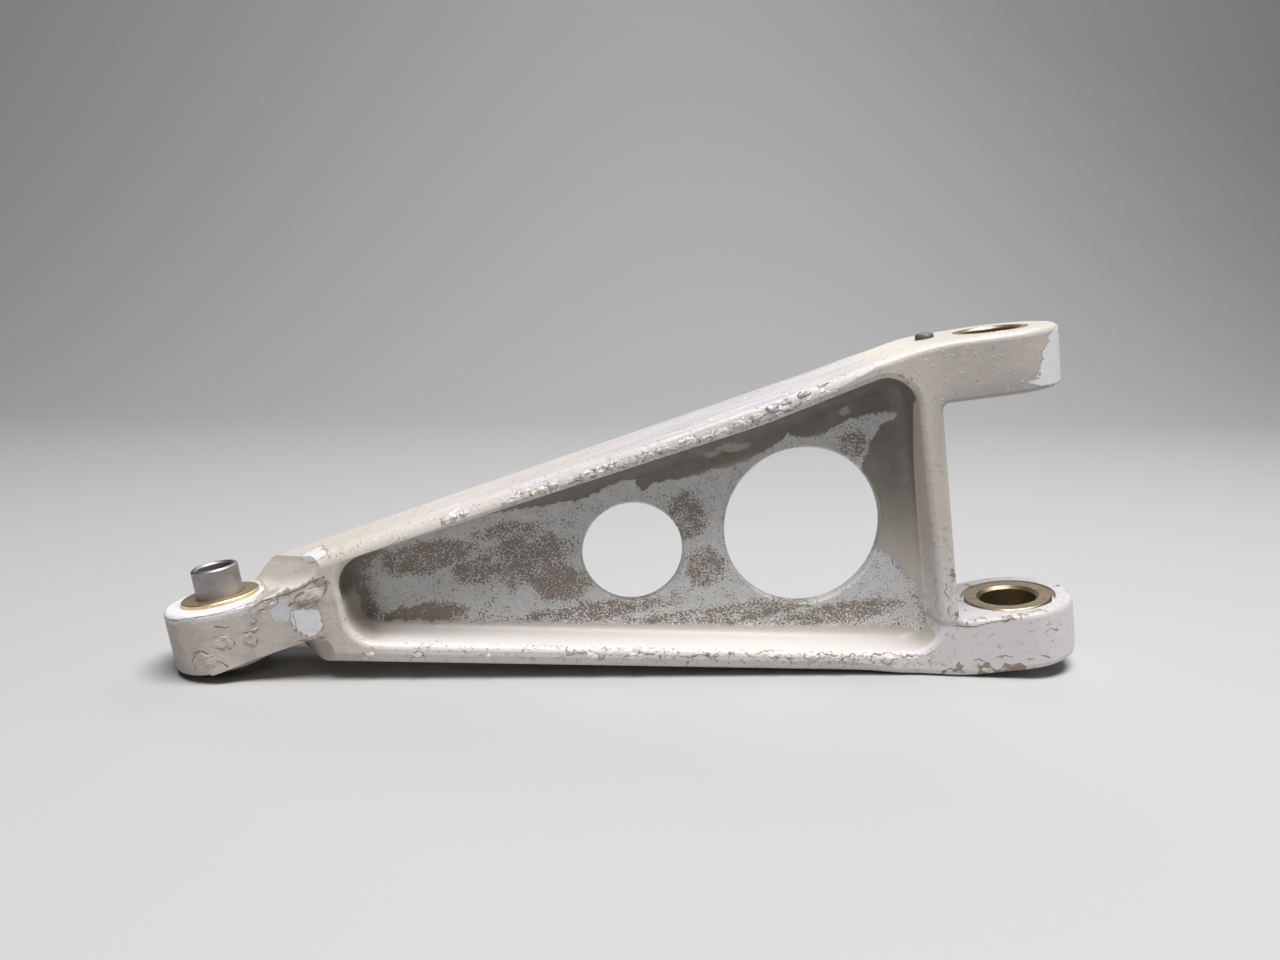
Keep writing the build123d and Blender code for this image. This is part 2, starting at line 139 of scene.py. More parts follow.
# ---------------------------------------------------------------- materials
class Q:
    """A number on the surface, worked out by the nodes of one material."""

    def __init__(self, net, sock):
        self.net, self.sock = net, sock

    def __add__(self, o):
        return self.net.math("ADD", self, o)

    def __radd__(self, o):
        return self.net.math("ADD", o, self)

    def __sub__(self, o):
        return self.net.math("SUBTRACT", self, o)

    def __rsub__(self, o):
        return self.net.math("SUBTRACT", o, self)

    def __mul__(self, o):
        return self.net.math("MULTIPLY", self, o)

    def __rmul__(self, o):
        return self.net.math("MULTIPLY", o, self)

    def __truediv__(self, o):
        return self.net.math("DIVIDE", self, o)

    def __neg__(self):
        return self.net.math("MULTIPLY", self, -1.0)

    def min(self, o):
        return self.net.math("MINIMUM", self, o)

    def max(self, o):
        return self.net.math("MAXIMUM", self, o)

    def abs(self):
        return self.net.math("ABSOLUTE", self)

    def clip(self):
        return self.net.math("ADD", self, 0.0, clamp=True)

    def step(self, lo, hi):
        """0 below lo, 1 above hi and smooth between."""
        return self.net.ramp(self, lo, hi)


class Net:
    def __init__(self, name):
        self.mat = bpy.data.materials.new(name)
        self.mat.use_nodes = True
        self.t = self.mat.node_tree
        self.t.nodes.clear()
        self.out = self.t.nodes.new("ShaderNodeOutputMaterial")
        self.bsdf = self.t.nodes.new("ShaderNodeBsdfPrincipled")
        self.t.links.new(self.bsdf.outputs[0], self.out.inputs[0])
        co = self.t.nodes.new("ShaderNodeTexCoord")
        self.obj, self.normal = co.outputs["Object"], co.outputs["Normal"]

    def put(self, sock, v):
        if isinstance(v, Q):
            self.t.links.new(v.sock, sock)
        elif isinstance(v, bpy.types.NodeSocket):
            self.t.links.new(v, sock)
        else:
            sock.default_value = v

    def math(self, op, *args, clamp=False):
        n = self.t.nodes.new("ShaderNodeMath")
        n.operation, n.use_clamp = op, clamp
        for k, v in enumerate(args):
            self.put(n.inputs[k], v)
        return Q(self, n.outputs[0])

    def vmath(self, op, *args):
        n = self.t.nodes.new("ShaderNodeVectorMath")
        n.operation = op
        for k, v in enumerate(args):
            if op == "SCALE" and k == 1:
                self.put(n.inputs["Scale"], v)
            else:
                self.put(n.inputs[k], v)
        return n.outputs["Value"] if op in ("DOT_PRODUCT", "LENGTH", "DISTANCE") else n.outputs[0]

    def ramp(self, v, lo, hi, out=(0.0, 1.0), kind="SMOOTHSTEP"):
        n = self.t.nodes.new("ShaderNodeMapRange")
        n.interpolation_type = kind
        self.put(n.inputs["Value"], v)
        self.put(n.inputs["From Min"], lo)
        self.put(n.inputs["From Max"], hi)
        self.put(n.inputs["To Min"], out[0])
        self.put(n.inputs["To Max"], out[1])
        return Q(self, n.outputs["Result"])

    def noise(self, at, scale, detail=2.0, rough=0.5, warp=0.0):
        n = self.t.nodes.new("ShaderNodeTexNoise")
        self.put(n.inputs["Vector"], at)
        n.inputs["Scale"].default_value = scale
        n.inputs["Detail"].default_value = detail
        n.inputs["Roughness"].default_value = rough
        n.inputs["Distortion"].default_value = warp
        return n

    def grain(self, at, scale, detail=2.0, rough=0.5, warp=0.0):
        return Q(self, self.noise(at, scale, detail, rough, warp).outputs[0])

    def cells(self, at, scale, feature="F1", randomness=1.0):
        n = self.t.nodes.new("ShaderNodeTexVoronoi")
        n.feature = feature
        self.put(n.inputs["Vector"], at)
        n.inputs["Scale"].default_value = scale
        n.inputs["Randomness"].default_value = randomness
        return n

    def split(self, v):
        n = self.t.nodes.new("ShaderNodeSeparateXYZ")
        self.put(n.inputs[0], v)
        return [Q(self, o) for o in n.outputs]

    def join(self, x, y, z):
        n = self.t.nodes.new("ShaderNodeCombineXYZ")
        for k, v in enumerate((x, y, z)):
            self.put(n.inputs[k], v)
        return n.outputs[0]

    def curve(self, v, points, lo, hi, low, high):
        """A line through points (at, value), read at v; at runs lo to hi and value low to high."""
        n = self.t.nodes.new("ShaderNodeFloatCurve")
        self.put(n.inputs["Value"], self.ramp(v, lo, hi, kind="LINEAR"))
        c = n.mapping.curves[0]
        pts = [((a - lo) / (hi - lo), (b - low) / (high - low)) for a, b in points]
        c.points[0].location, c.points[1].location = pts[0], pts[-1]
        for p in pts[1:-1]:
            c.points.new(*p)
        for p in c.points:
            p.handle_type = "VECTOR"
        n.mapping.update()
        return Q(self, n.outputs[0]) * (high - low) + low

    def mix(self, fac, a, b, blend="MIX"):
        n = self.t.nodes.new("ShaderNodeMix")
        n.data_type, n.blend_type = "RGBA", blend
        self.put(n.inputs["Factor"], fac)
        for sock, v in ((n.inputs[6], a), (n.inputs[7], b)):
            self.put(sock, (*v, 1.0) if isinstance(v, tuple) else v)
        return n.outputs[2]

    def blob(self, at, c, r):
        """Distance inside a round patch of centre c and half-sizes r, in mm, about."""
        m = self.t.nodes.new("ShaderNodeMapping")
        m.vector_type = "TEXTURE"
        self.put(m.inputs["Vector"], at)
        m.inputs["Location"].default_value = c
        m.inputs["Scale"].default_value = r
        return (1.0 - Q(self, self.vmath("LENGTH", m.outputs[0]))) * min(r)

    def link_place(self):
        """Where a point is in the link's own frame, as a vector and three numbers, in mm."""
        k = 1000.0
        x = Q(self, self.vmath("DOT_PRODUCT", self.obj, (k * CT, 0, k * ST))) - (CT * AX + ST * AZ)
        y = Q(self, self.vmath("DOT_PRODUCT", self.obj, (-k * ST, 0, k * CT))) - (CT * AZ - ST * AX)
        z = Q(self, self.vmath("DOT_PRODUCT", self.obj, (0, -k, 0)))
        return self.join(x, y, z), x, y, z

    def bump(self, height, mm=1.0, before=None):
        n = self.t.nodes.new("ShaderNodeBump")
        n.inputs["Strength"].default_value = 1.0
        n.inputs["Distance"].default_value = mm / 1000.0
        self.put(n.inputs["Height"], height)
        if before is not None:
            self.put(n.inputs["Normal"], before)
        return n.outputs[0]


TOPCOAT = (0.600, 0.560, 0.500)
TOPCOAT_WARM = (0.620, 0.570, 0.490)
LILAC = (0.690, 0.680, 0.725)
PRIMER = (0.760, 0.755, 0.770)
PRIMER_GREY = (0.610, 0.605, 0.590)
BARE = (0.330, 0.265, 0.205)


def ragged(q, at):
    """The place moved about by three sizes of noise, so that a paint edge runs ragged."""
    half = (0.5, 0.5, 0.5)
    w1 = q.vmath("SUBTRACT", q.noise(at, 0.24, 2.0, 0.6).outputs[1], half)
    w2 = q.vmath("SUBTRACT", q.noise(at, 1.15, 3.0, 0.65).outputs[1], half)
    torn = q.vmath("ADD", at, q.vmath("ADD", q.vmath("SCALE", w1, 3.2), q.vmath("SCALE", w2, 1.9)))
    return torn


def blobs(q, at, places):
    field = None
    for c, r in places:
        one = q.blob(at, c, r)
        field = one if field is None else field.max(one)
    return field


def paint_material(name, region):
    """Worn off-white topcoat over a cooler primer. Each layer's edge is a distance in mm, so it stays sharp."""
    q = Net(name)
    at, x, y, z = q.link_place()
    az = z.abs()
    torn = ragged(q, at)
    tx, ty, tz = q.split(torn)
    mottle = q.grain(at, 0.45, 3.0, 0.6)
    cloud = q.grain(at, 0.045, 3.0, 0.55)
    fine = q.grain(at, 3.2, 2.0, 0.6)

    gone = None  # how far inside a place where the topcoat is off, in mm
    island = None  # and islands of topcoat left there
    off = None  # how far inside a place where the primer is off as well
    grime_and_shade = None
    specks_at = None
    streaks = None
    grey = 0.0
    isle_colour = None

    if region == "pocket":
        above = q.curve(tx, [(30, 18.0), (80, 18.5), (92, 18.0), (109, 18.2), (117, 21.7), (122.7, 21.7), (124, 17.6),
                             (128, 19.4), (141, 20.4), (156, 21.9), (160, 23.7), (166, 26.0), (168.7, 28.8), (171.4, 26.4),
                             (178, 25.9), (181, 28.0), (188, 29.8), (210, 30.4)], 30, 210, -50, 50)
        below = q.curve(tx, [(30, -2.0), (46, -9.5), (66, -12.6), (101, -18.8), (136, -25.2), (160, -29.6), (181, -33.0),
                             (210, -39.0)], 30, 210, -50, 50)
        right = q.curve(ty, [(-50, 206), (-34, 204), (-22, 202), (-15, 197), (-8, 190), (10, 187.5), (15.9, 189.6),
                             (21.4, 192.2), (24.4, 194.3), (27.3, 197.5), (28.6, 200.6), (31, 201.4), (50, 201.4)], -50, 50, 150, 210)
        left = q.curve(ty, [(-50, 39), (-12, 43), (-8, 40.5), (-2, 38.8), (4, 38.6), (9, 40.5), (14, 46), (18, 52), (50, 60)], -50, 50, 30, 70)
        gone = (above - ty).min(ty - below).min(right - tx).min(tx - left).min(5.6 - az)
        dens = None
        for c, r, k in (((60, 8, 0), (19, 6.5, 99), 0.85), ((73, 2, 0), (10, 6, 99), 0.75), ((55, -9.6, 0), (17, 5.6, 99), 1.20),
                        ((89, 3, 0), (16, 12, 99), 0.74), ((97, -6, 0), (11, 8, 99), 0.88), ((136, 8, 0), (8.5, 11, 99), 0.74),
                        ((140, -8, 0), (8, 8, 99), 0.74), ((105, -16, 0), (36, 4.5, 99), 0.72), ((150, -23.5, 0), (28, 4.5, 99), 0.74),
                        ((178, -28.5, 0), (24, 4.5, 99), 0.85), ((187.5, 22, 0), (6, 6, 99), 0.70), ((84, 12, 0), (15, 4, 99), 0.62),
                        ((124, -22, 0), (40, 3.0, 99), 0.66)):
            one = (q.blob(at, c, r) * (2.2 / min(r))).clip() * k
            dens = one if dens is None else dens.max(one)
        dens = (dens * 1.12).max(0.20) - (q.blob(at, (52, -1.5, 0), (9, 5, 99)) * 0.5).clip() * 0.9
        dens = dens.max(q.ramp(gone, 5.0, 0.0) * 0.55 * q.ramp(y, 12.0, -4.0))
        dens = dens.max(q.ramp(tx - left, 7.0, 1.0) * 1.15)
        speck = q.grain(at, 1.75, 2.5, 0.6, 0.5)
        fleck = q.grain(at, 0.30, 2.0, 0.5, 0.2)
        island = (speck * 0.74 + fleck * 0.26 - 0.640 + dens * 0.178) * 2.6 * q.ramp(gone, 0.0, 0.8)
        isle_colour = q.ramp(gone, 0.2, 0.9)
        white = q.ramp(0.385 - speck + q.ramp(ty - below, 8.0, 0.5) * 0.135, 0.0, 0.015) * q.ramp(x, 84.0, 104.0) * q.ramp(ty - below, 8.5, 6.5)
        rim = y - (x * 0.1677 + 6.6)
        # painted shade over a dirty coat: the web and wall just under the upper arm, and the top of the pocket's right
        # end, are drawn near black
        shade_below = q.ramp(rim, -13.0, -8.5) * q.ramp(az, 13.6, 12.2)
        end_l = q.ramp(tx, 46.5, 41.0) * q.ramp(az, 13.0, 10.0)
        end_r = q.ramp(x, 184.0, 187.0) * q.ramp(y, -26.0, 10.0) * q.ramp(az, 13.4, 12.2)
        shade_and_highlight_band = (shade_below * 0.84).max(end_r * 0.80)
        # painted shade with some grime: darker close under the upper lip and at the pocket's left end
        grime_and_shade = (q.ramp(rim, -7.0, -1.0) * q.ramp(az, 13.6, 12.2) * 0.42).max(end_l * 0.34)
        warm = blobs(q, torn, (((186.2, 32.2, 2), (1.7, 1.2, 4)), ((152.1, 26.6, 2), (5.2, 1.5, 6)), ((146.0, 25.6, 3), (2.6, 1.0, 6))))
        grey = 0.75
    elif region == "apex":
        gone = blobs(q, torn, (
            ((26.2, -1.0, 14), (3.4, 3.4, 3)), ((27.4, -3.2, 14), (3.9, 3.2, 3)), ((28.0, -1.6, 14), (3.2, 3.2, 3)),
            ((29.8, 15.4, 7), (3.2, 1.8, 7)), ((32.5, 15.8, 11), (3.0, 1.6, 4)), ((2, 5.7, 12), (16, 0.8, 12)), ((-9, 4.6, 10), (7, 0.9, 9))))
        # the lilac along the lug's upper edge is a painted highlight; beside the flake it is lilac undercoat
        shade_and_highlight_band = blobs(q, torn, (((20.4, 2.6, 14), (2.6, 3.9, 3)), ((3.0, 3.7, 13.5), (15.0, 0.8, 4)), ((-9.0, 3.2, 9), (8.0, 0.9, 7))))
        gone = gone.max((17.6 - Q(q, q.vmath("LENGTH", q.join(x, 0.0, z)))).min(y - 4.3).min((5.6 - y) * 3.0).min(14.5 - x).min((z + 12.0).max(2.5 - x)))
        specks_at = q.ramp(x, 30.0, 34.0) * 0.6
    elif region == "arms":
        places = (
            ((71.0, 20.8, 13.6), (3.4, 1.6, 2)), ((87.0, 23.0, 13.8), (2.4, 1.2, 2)), ((96.5, 25.2, 13.8), (4.4, 1.8, 2)),
            ((110.5, 27.6, 13.9), (5.2, 2.2, 2)), ((117.6, 28.3, 13.5), (3.2, 2.2, 2)), ((128.0, 30.8, 13.9), (5.4, 1.8, 2)),
            ((134.5, 31.4, 13.9), (3.6, 1.6, 2)), ((147.4, 33.0, 14), (5.4, 2.0, 2)), ((164.0, 38.2, 13.5), (4.0, 1.8, 2)),
            ((172.6, 40.6, 13.0), (4.4, 1.9, 2)), ((156.2, 35.2, 14), (3.2, 1.7, 2)), ((140.5, 32.0, 14), (4.0, 1.7, 2)),
            ((42.0, -14.9, 13.8), (1.3, 1.3, 2)), ((55.0, -17.2, 13.8), (1.7, 1.5, 2)), ((74.2, -20.5, 13.9), (1.2, 1.2, 2)),
            ((117.0, -28.0, 13.9), (5.4, 1.4, 2)), ((155.4, -34.0, 14), (1.8, 1.4, 2)), ((169.0, -37.0, 14), (5.0, 1.4, 2)),
            ((181.0, -39.3, 14), (5.0, 1.5, 2)), ((191.0, -41.4, 14), (5.0, 1.6, 2)))
        chipped = q.grain(at, 0.44, 2.6, 0.56, 0.6)
        rims = (y - x * 0.1677 - 7.4).abs().min((y + x * 0.1885 + 4.4).abs())
        lips = q.ramp(rims, 3.4, 0.6) * q.ramp(az, 10.5, 13.0) * q.ramp(x, 50, 110, (0.15, 1.0))
        gone = (chipped - 0.655 + lips * 0.060 + (blobs(q, at, places) * 0.30 + 0.45).clip() * 0.115) * 9.0
        off = (q.grain(at, 0.75, 2.4, 0.56, 0.4) - 0.685 + lips * 0.060 + (q.blob(at, (119.0, 28.6, 13.4), (3.4, 2.2, 2)) * 0.3).clip() * 0.10) * 8.0
        specks_at = q.ramp(az, 8.0, 12.5) * 0.55
        slope = x * 0.1840
        streaks = q.grain(q.join(x * 0.030, (y - slope) * 0.55, z * 0.55), 1.0, 3.0, 0.55)
        streaks = q.ramp(streaks, 0.44, 0.64) * q.ramp(y, 0.0, 8.0) * q.ramp(x, 38.0, 70.0) * q.ramp(az, 13.9, 12.0, (0.35, 1.0))
    else:
        tip = q.curve(ty, [(-60, 300), (26, 300), (30.5, 246), (33.0, 240), (34.6, 232), (35.3, 235.7), (37.5, 237.2), (40.4, 238.1),
                           (43.4, 238.3), (46.2, 240.9), (47.5, 242.8), (49, 247), (60, 250)], -60, 60, 200, 300)
        chipped = q.grain(at, 0.55, 4.0, 0.66, 0.5)
        edge = q.ramp(x, 206.0, 208.8) * q.ramp(y, 8.0, -18.0) * q.ramp(y, -33.0, -31.0)
        low = q.ramp(x, 211.5, 206.5)
        gone = (tx - tip + (q.grain(at, 1.1, 3.0) - 0.5) * 5.0).max((chipped - 0.665 + edge * 0.09 + q.ramp(y, 22.0, -30.0) * 0.055 * low) * 9.0)
        base = q.ramp(y, -42.5, -47.0) * q.ramp(x, 234.0, 226.0) * q.ramp(az, 11.0, 14.0)
        lip_low = q.ramp((y + 32.6).abs(), 1.3, 0.3) * q.ramp(x, 206.0, 209.0) * q.ramp(z, 13.0, 14.5)
        off = (q.grain(at, 0.30, 3.0, 0.58, 0.5) - 0.735 + base * 0.215 + lip_low * 0.12 + edge * 0.115) * 14.0
        specks_at = q.ramp(Q(q, q.vmath("DISTANCE", at, (210, 40, 16))), 10, 34, (1.0, 0.0)).max(q.ramp(y, 34, 20) * 0.75)
        specks_at = specks_at * q.ramp(y, -30, -10) * 1.25

    # towards the foot of the clevis the paint goes over to a paler, cooler coat without a clear edge
    pale = q.ramp(x + (mottle - 0.5) * 16.0, 176, 206) * q.ramp(y + (cloud - 0.5) * 20.0, -2, -30)
    if region == "apex":
        pale = 0.0
    coat = -gone if island is None else (-gone).max(island)
    top = q.ramp(coat, -0.05, 0.05)
    rim_line = q.ramp(coat.abs(), 0.05, 0.30, (1.0, 0.0))
    height = top * 0.13

    # painted light: the coat is lighter on the pocket's lower wall and the lower lip, which face up to the lamp
    lit_lower_wall = q.ramp(y + x * 0.1885 + 3.2, 3.4, 0.2) * q.ramp(x, 36.0, 52.0)

    # -- colours
    coat_colour = q.mix(q.ramp(cloud, 0.35, 0.68), TOPCOAT, TOPCOAT_WARM)
    coat_colour = q.mix(q.ramp(mottle, 0.30, 0.75) * 0.12, coat_colour, (0.42, 0.37, 0.31))
    if region in ("arms", "pocket"):
        coat_colour = q.mix(lit_lower_wall * 0.85, coat_colour, (0.745, 0.715, 0.680))
    if streaks is not None:
        fade = q.ramp(x, 201.0, 182.0)
        coat_colour = q.mix(streaks * fade * 0.75, coat_colour, LILAC)
        outer = q.ramp(y - x * 0.1677, 8.6, 11.0) * q.ramp(x, 50.0, 150.0) * q.ramp(y, 0.0, 10.0) * fade
        lines = q.grain(q.join(x * 0.035, (y - slope) * 0.5, z * 1.3), 1.0, 3.0, 0.6)
        coat_colour = q.mix((outer * q.ramp(lines, 0.36, 0.62, (0.15, 1.0))).clip(), coat_colour, (0.430, 0.418, 0.445))
    if isle_colour is not None:
        # painted shade, partly grime: the near-black band under the upper arm and at the top of the pocket's right end
        coat_colour = q.mix((shade_and_highlight_band * (0.85 + fleck * 0.3)).clip(), coat_colour, (0.125, 0.114, 0.097))
        coat_colour = q.mix(q.ramp(warm, -0.4, 0.5) * 0.75, coat_colour, (0.560, 0.455, 0.370))
        coat_colour = q.mix(isle_colour, coat_colour, (0.262, 0.218, 0.165))
    if region == "apex":
        # stains mottle the lug's front; from x = -6 leftwards the coat darkens further, which is painted shade on the
        # side turned away from the lamp
        stained_and_left_shade = (q.ramp(q.grain(at, 0.16, 4.0, 0.6), 0.35, 0.70) * 0.60 + 0.20) * q.ramp(y, 5.4, 3.4)
        stained_and_left_shade = (stained_and_left_shade + q.ramp(x, -6.0, -13.0) * 0.75).clip()
        coat_colour = q.mix(stained_and_left_shade, coat_colour, (0.415, 0.365, 0.328))
        # painted shade: the lug's far left end, below the top, is drawn darker still
        coat_colour = q.mix(q.ramp(x, -11.0, -15.3) * q.ramp(y, 3.8, 2.4) * 0.45, coat_colour, (0.255, 0.225, 0.190))
        # painted highlight along the lug's upper edge, and lilac undercoat beside the flake
        coat_colour = q.mix(q.ramp(shade_and_highlight_band, -0.15, 0.15) * 0.85, coat_colour, (0.640, 0.635, 0.670))
        scoop = q.ramp(y - x * 0.1677, 9.8, 8.2) * q.ramp(y, 5.0, 6.4) * q.ramp(x, 6.0, 11.0) * q.ramp(x, 36.0, 33.0) * q.ramp(z, 13.9, 13.0)
        coat_colour = q.mix(scoop * 0.8, coat_colour, (0.740, 0.710, 0.640))
        scraped = blobs(q, torn, (((33.2, 8.0, 14), (2.6, 1.3, 3)), ((26.6, 3.6, 14), (2.6, 1.2, 3))))
        coat_colour = q.mix(q.ramp(scraped, -0.1, 0.2) * 0.7, coat_colour, (0.290, 0.265, 0.215))
    elif region != "pocket":
        if region == "clevis":
            # mottle, plus painted shade: the cross member and upper lug are drawn darker lower down, most along and
            # below the upper lug's lower edge
            dull = q.ramp(y, 4.0, 30.0) * q.ramp(x, 203.4, 214.0) * (mottle * 0.5 + 0.20 + q.ramp(y - x * 0.10, 17.0, 9.5) * 0.60)
            coat_colour = q.mix(dull.clip(), coat_colour, (0.400, 0.375, 0.355))
        coat_colour = q.mix(pale * 0.85, coat_colour, (0.735, 0.715, 0.715))
        if region == "clevis":
            coat_colour = q.mix(q.ramp((y + 32.05).abs(), 1.1, 0.4) * (0.65 + mottle * 0.3), coat_colour, (0.470, 0.455, 0.445))
    prim_colour = q.mix((q.ramp(mottle, 0.35, 0.70) * 0.25 + grey).clip(), PRIMER, PRIMER_GREY)
    if region == "pocket":
        prim_colour = q.mix(pale * 0.5, prim_colour, PRIMER)
        # painted light: the primer is lighter within 4.5 mm of the lower wall, where more light reaches the web; the
        # white specks are real
        prim_colour = q.mix(white.max(q.ramp(ty - below, 4.5, 1.0) * 0.45) * 0.85, prim_colour, (0.800, 0.785, 0.760))
    if region == "apex":  # the flat top is creamier and duller than the fresh flakes in front
        prim_colour = q.mix(q.ramp(y, 4.6, 5.4) * 0.85, prim_colour, (0.680, 0.668, 0.640))
    colour = q.mix(top, prim_colour, coat_colour)
    rough = 0.43 + (1.0 - top) * 0.18 + (mottle - 0.5) * 0.20
    if off is not None:
        bare = q.ramp(off, -0.05, 0.06)
        colour = q.mix(bare, colour, BARE)
        colour = q.mix(q.ramp(off.abs(), 0.05, 0.40, (0.6, 0.0)), colour, (0.74, 0.70, 0.63) if region == "arms" else (0.30, 0.22, 0.16))
        rough = rough + bare * 0.2
        height = height - bare * 0.12
    # painted shade and grime: darkens the colour and roughens the coat
    if grime_and_shade is not None:
        grime_and_shade = (grime_and_shade * (0.80 + fleck * 0.4)).clip()
        colour = q.mix(grime_and_shade, colour, (0.110, 0.100, 0.082))
        rough = rough + grime_and_shade * 0.25
    colour = q.mix((rim_line * (0.12 if region == "pocket" else 0.60) * (0.4 + mottle)).clip(), colour, (0.24, 0.18, 0.13))
    if specks_at is not None:  # small raised specks under the paint
        v2 = q.cells(at, 0.62)
        near = specks_at.max(0.03)
        keep = q.ramp(q.split(v2.outputs["Color"])[1] + near * 0.36, 1.0, 1.06)
        pimple = q.ramp(Q(q, v2.outputs["Distance"]), 0.04, 0.30, (1.0, 0.0)) * keep
        colour = q.mix(pimple * 0.5, colour, (0.82, 0.81, 0.79))
        height = height + pimple * 0.15
    colour = q.mix(q.ramp(fine, 0.66, 0.80) * 0.05, colour, (0.20, 0.17, 0.14))
    q.put(q.bsdf.inputs["Base Color"], colour)
    q.put(q.bsdf.inputs["Roughness"], rough.clip())
    q.bsdf.inputs["IOR"].default_value = 1.5
    q.bsdf.inputs["Coat Weight"].default_value = 0.04
    q.bsdf.inputs["Coat Roughness"].default_value = 0.12
    height = height + (mottle - 0.5) * (0.20 if region == "apex" else 0.12) + (fine - 0.5) * 0.012
    q.put(q.bsdf.inputs["Normal"], q.bump(height))
    return q.mat


def turned_metal(name, axis_x, colour, tint, rough, ring=2.6, dull=0.0, dirt=(0.09, 0.075, 0.055), soiled=0.5, shade_below=None):
    """A turned part about one of the bore axes: fine tool marks, stains and duller patches."""
    q = Net(name)
    at, x, y, z = q.link_place()
    out = q.vmath("SUBTRACT", at, (axis_x, 0, 0))
    ox, oy, oz = q.split(out)
    rad = q.math("SQRT", ox * ox + oz * oz)
    spin = q.join(rad * ring, oy * ring, q.math("ARCTAN2", oz, ox) * 0.35)
    marks = q.grain(spin, 2.4, 2.0, 0.6)
    stain = q.grain(at, 0.28, 3.0, 0.6, 0.5)
    spots = q.grain(at, 1.5, 2.0, 0.6)
    colour = q.mix(q.ramp(stain, 0.35, 0.7), colour, tint)
    colour = q.mix((q.ramp(spots, 0.55, 0.75) * soiled).clip(), colour, dirt)
    colour = q.mix(q.ramp(marks, 0.45, 0.75) * 0.16, colour, dirt)
    q.put(q.bsdf.inputs["Base Color"], colour)
    q.bsdf.inputs["Metallic"].default_value = 1.0 - dull
    q.put(q.bsdf.inputs["Roughness"], (rough + (stain - 0.5) * 0.30 + (marks - 0.5) * 0.18).clip())
    if shade_below is not None:  # painted shade: below this height the colour goes almost black
        q.put(q.bsdf.inputs["Base Color"], q.mix(q.ramp(y, shade_below + 0.6, shade_below - 0.2) * 0.92, colour, (0.050, 0.042, 0.032)))
    height = (marks - 0.5) * 0.020 + (stain - 0.5) * 0.02 - q.ramp(spots, 0.60, 0.76) * 0.012
    q.put(q.bsdf.inputs["Normal"], q.bump(height))
    return q.mat


def give(node, mat):
    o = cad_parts[node]
    o.data.materials.clear()
    o.data.materials.append(mat)


# ---------------------------------------------------------------- the painted body
# The body's own surface, cut where one paint pattern meets the next. The lifted paint
# and the cracks are laid over it as separate thin skins.
def surface_of(node):
    """A CAD node's points, triangles and the normal at each corner, in the link's frame, in mm."""
    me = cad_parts[node].data
    co = np.empty(len(me.vertices) * 3)
    me.vertices.foreach_get("co", co)
    co = co.reshape(-1, 3)
    vi = np.empty(len(me.loops), np.int32)
    me.loops.foreach_get("vertex_index", vi)
    no = np.empty(len(me.loops) * 3)
    me.corner_normals.foreach_get("vector", no)
    _, first, same = np.unique(np.round(co * 1e7).astype(np.int64), axis=0, return_index=True, return_inverse=True)
    tri = same.reshape(-1)[vi].reshape(-1, 3)
    real = (tri[:, 0] != tri[:, 1]) & (tri[:, 1] != tri[:, 2]) & (tri[:, 2] != tri[:, 0])
    return to_link(co[first]), tri[real], spin_link(no.reshape(-1, 3, 3)[real])


def spin_link(v):
    return np.stack([CT * v[..., 0] + ST * v[..., 2], -ST * v[..., 0] + CT * v[..., 2], -v[..., 1]], -1)


def spin_row(v):
    return np.stack([CT * v[..., 0] - ST * v[..., 1], -v[..., 2], ST * v[..., 0] + CT * v[..., 1]], -1)


def to_link(p):
    return spin_link(p * 1000.0 - np.array([AX, 0.0, AZ]))


def to_row(p):
    return (spin_row(p) + np.array([AX, 0.0, AZ])) / 1000.0


def unit(v):
    return v / np.maximum(np.linalg.norm(v, axis=-1, keepdims=True), 1e-12)


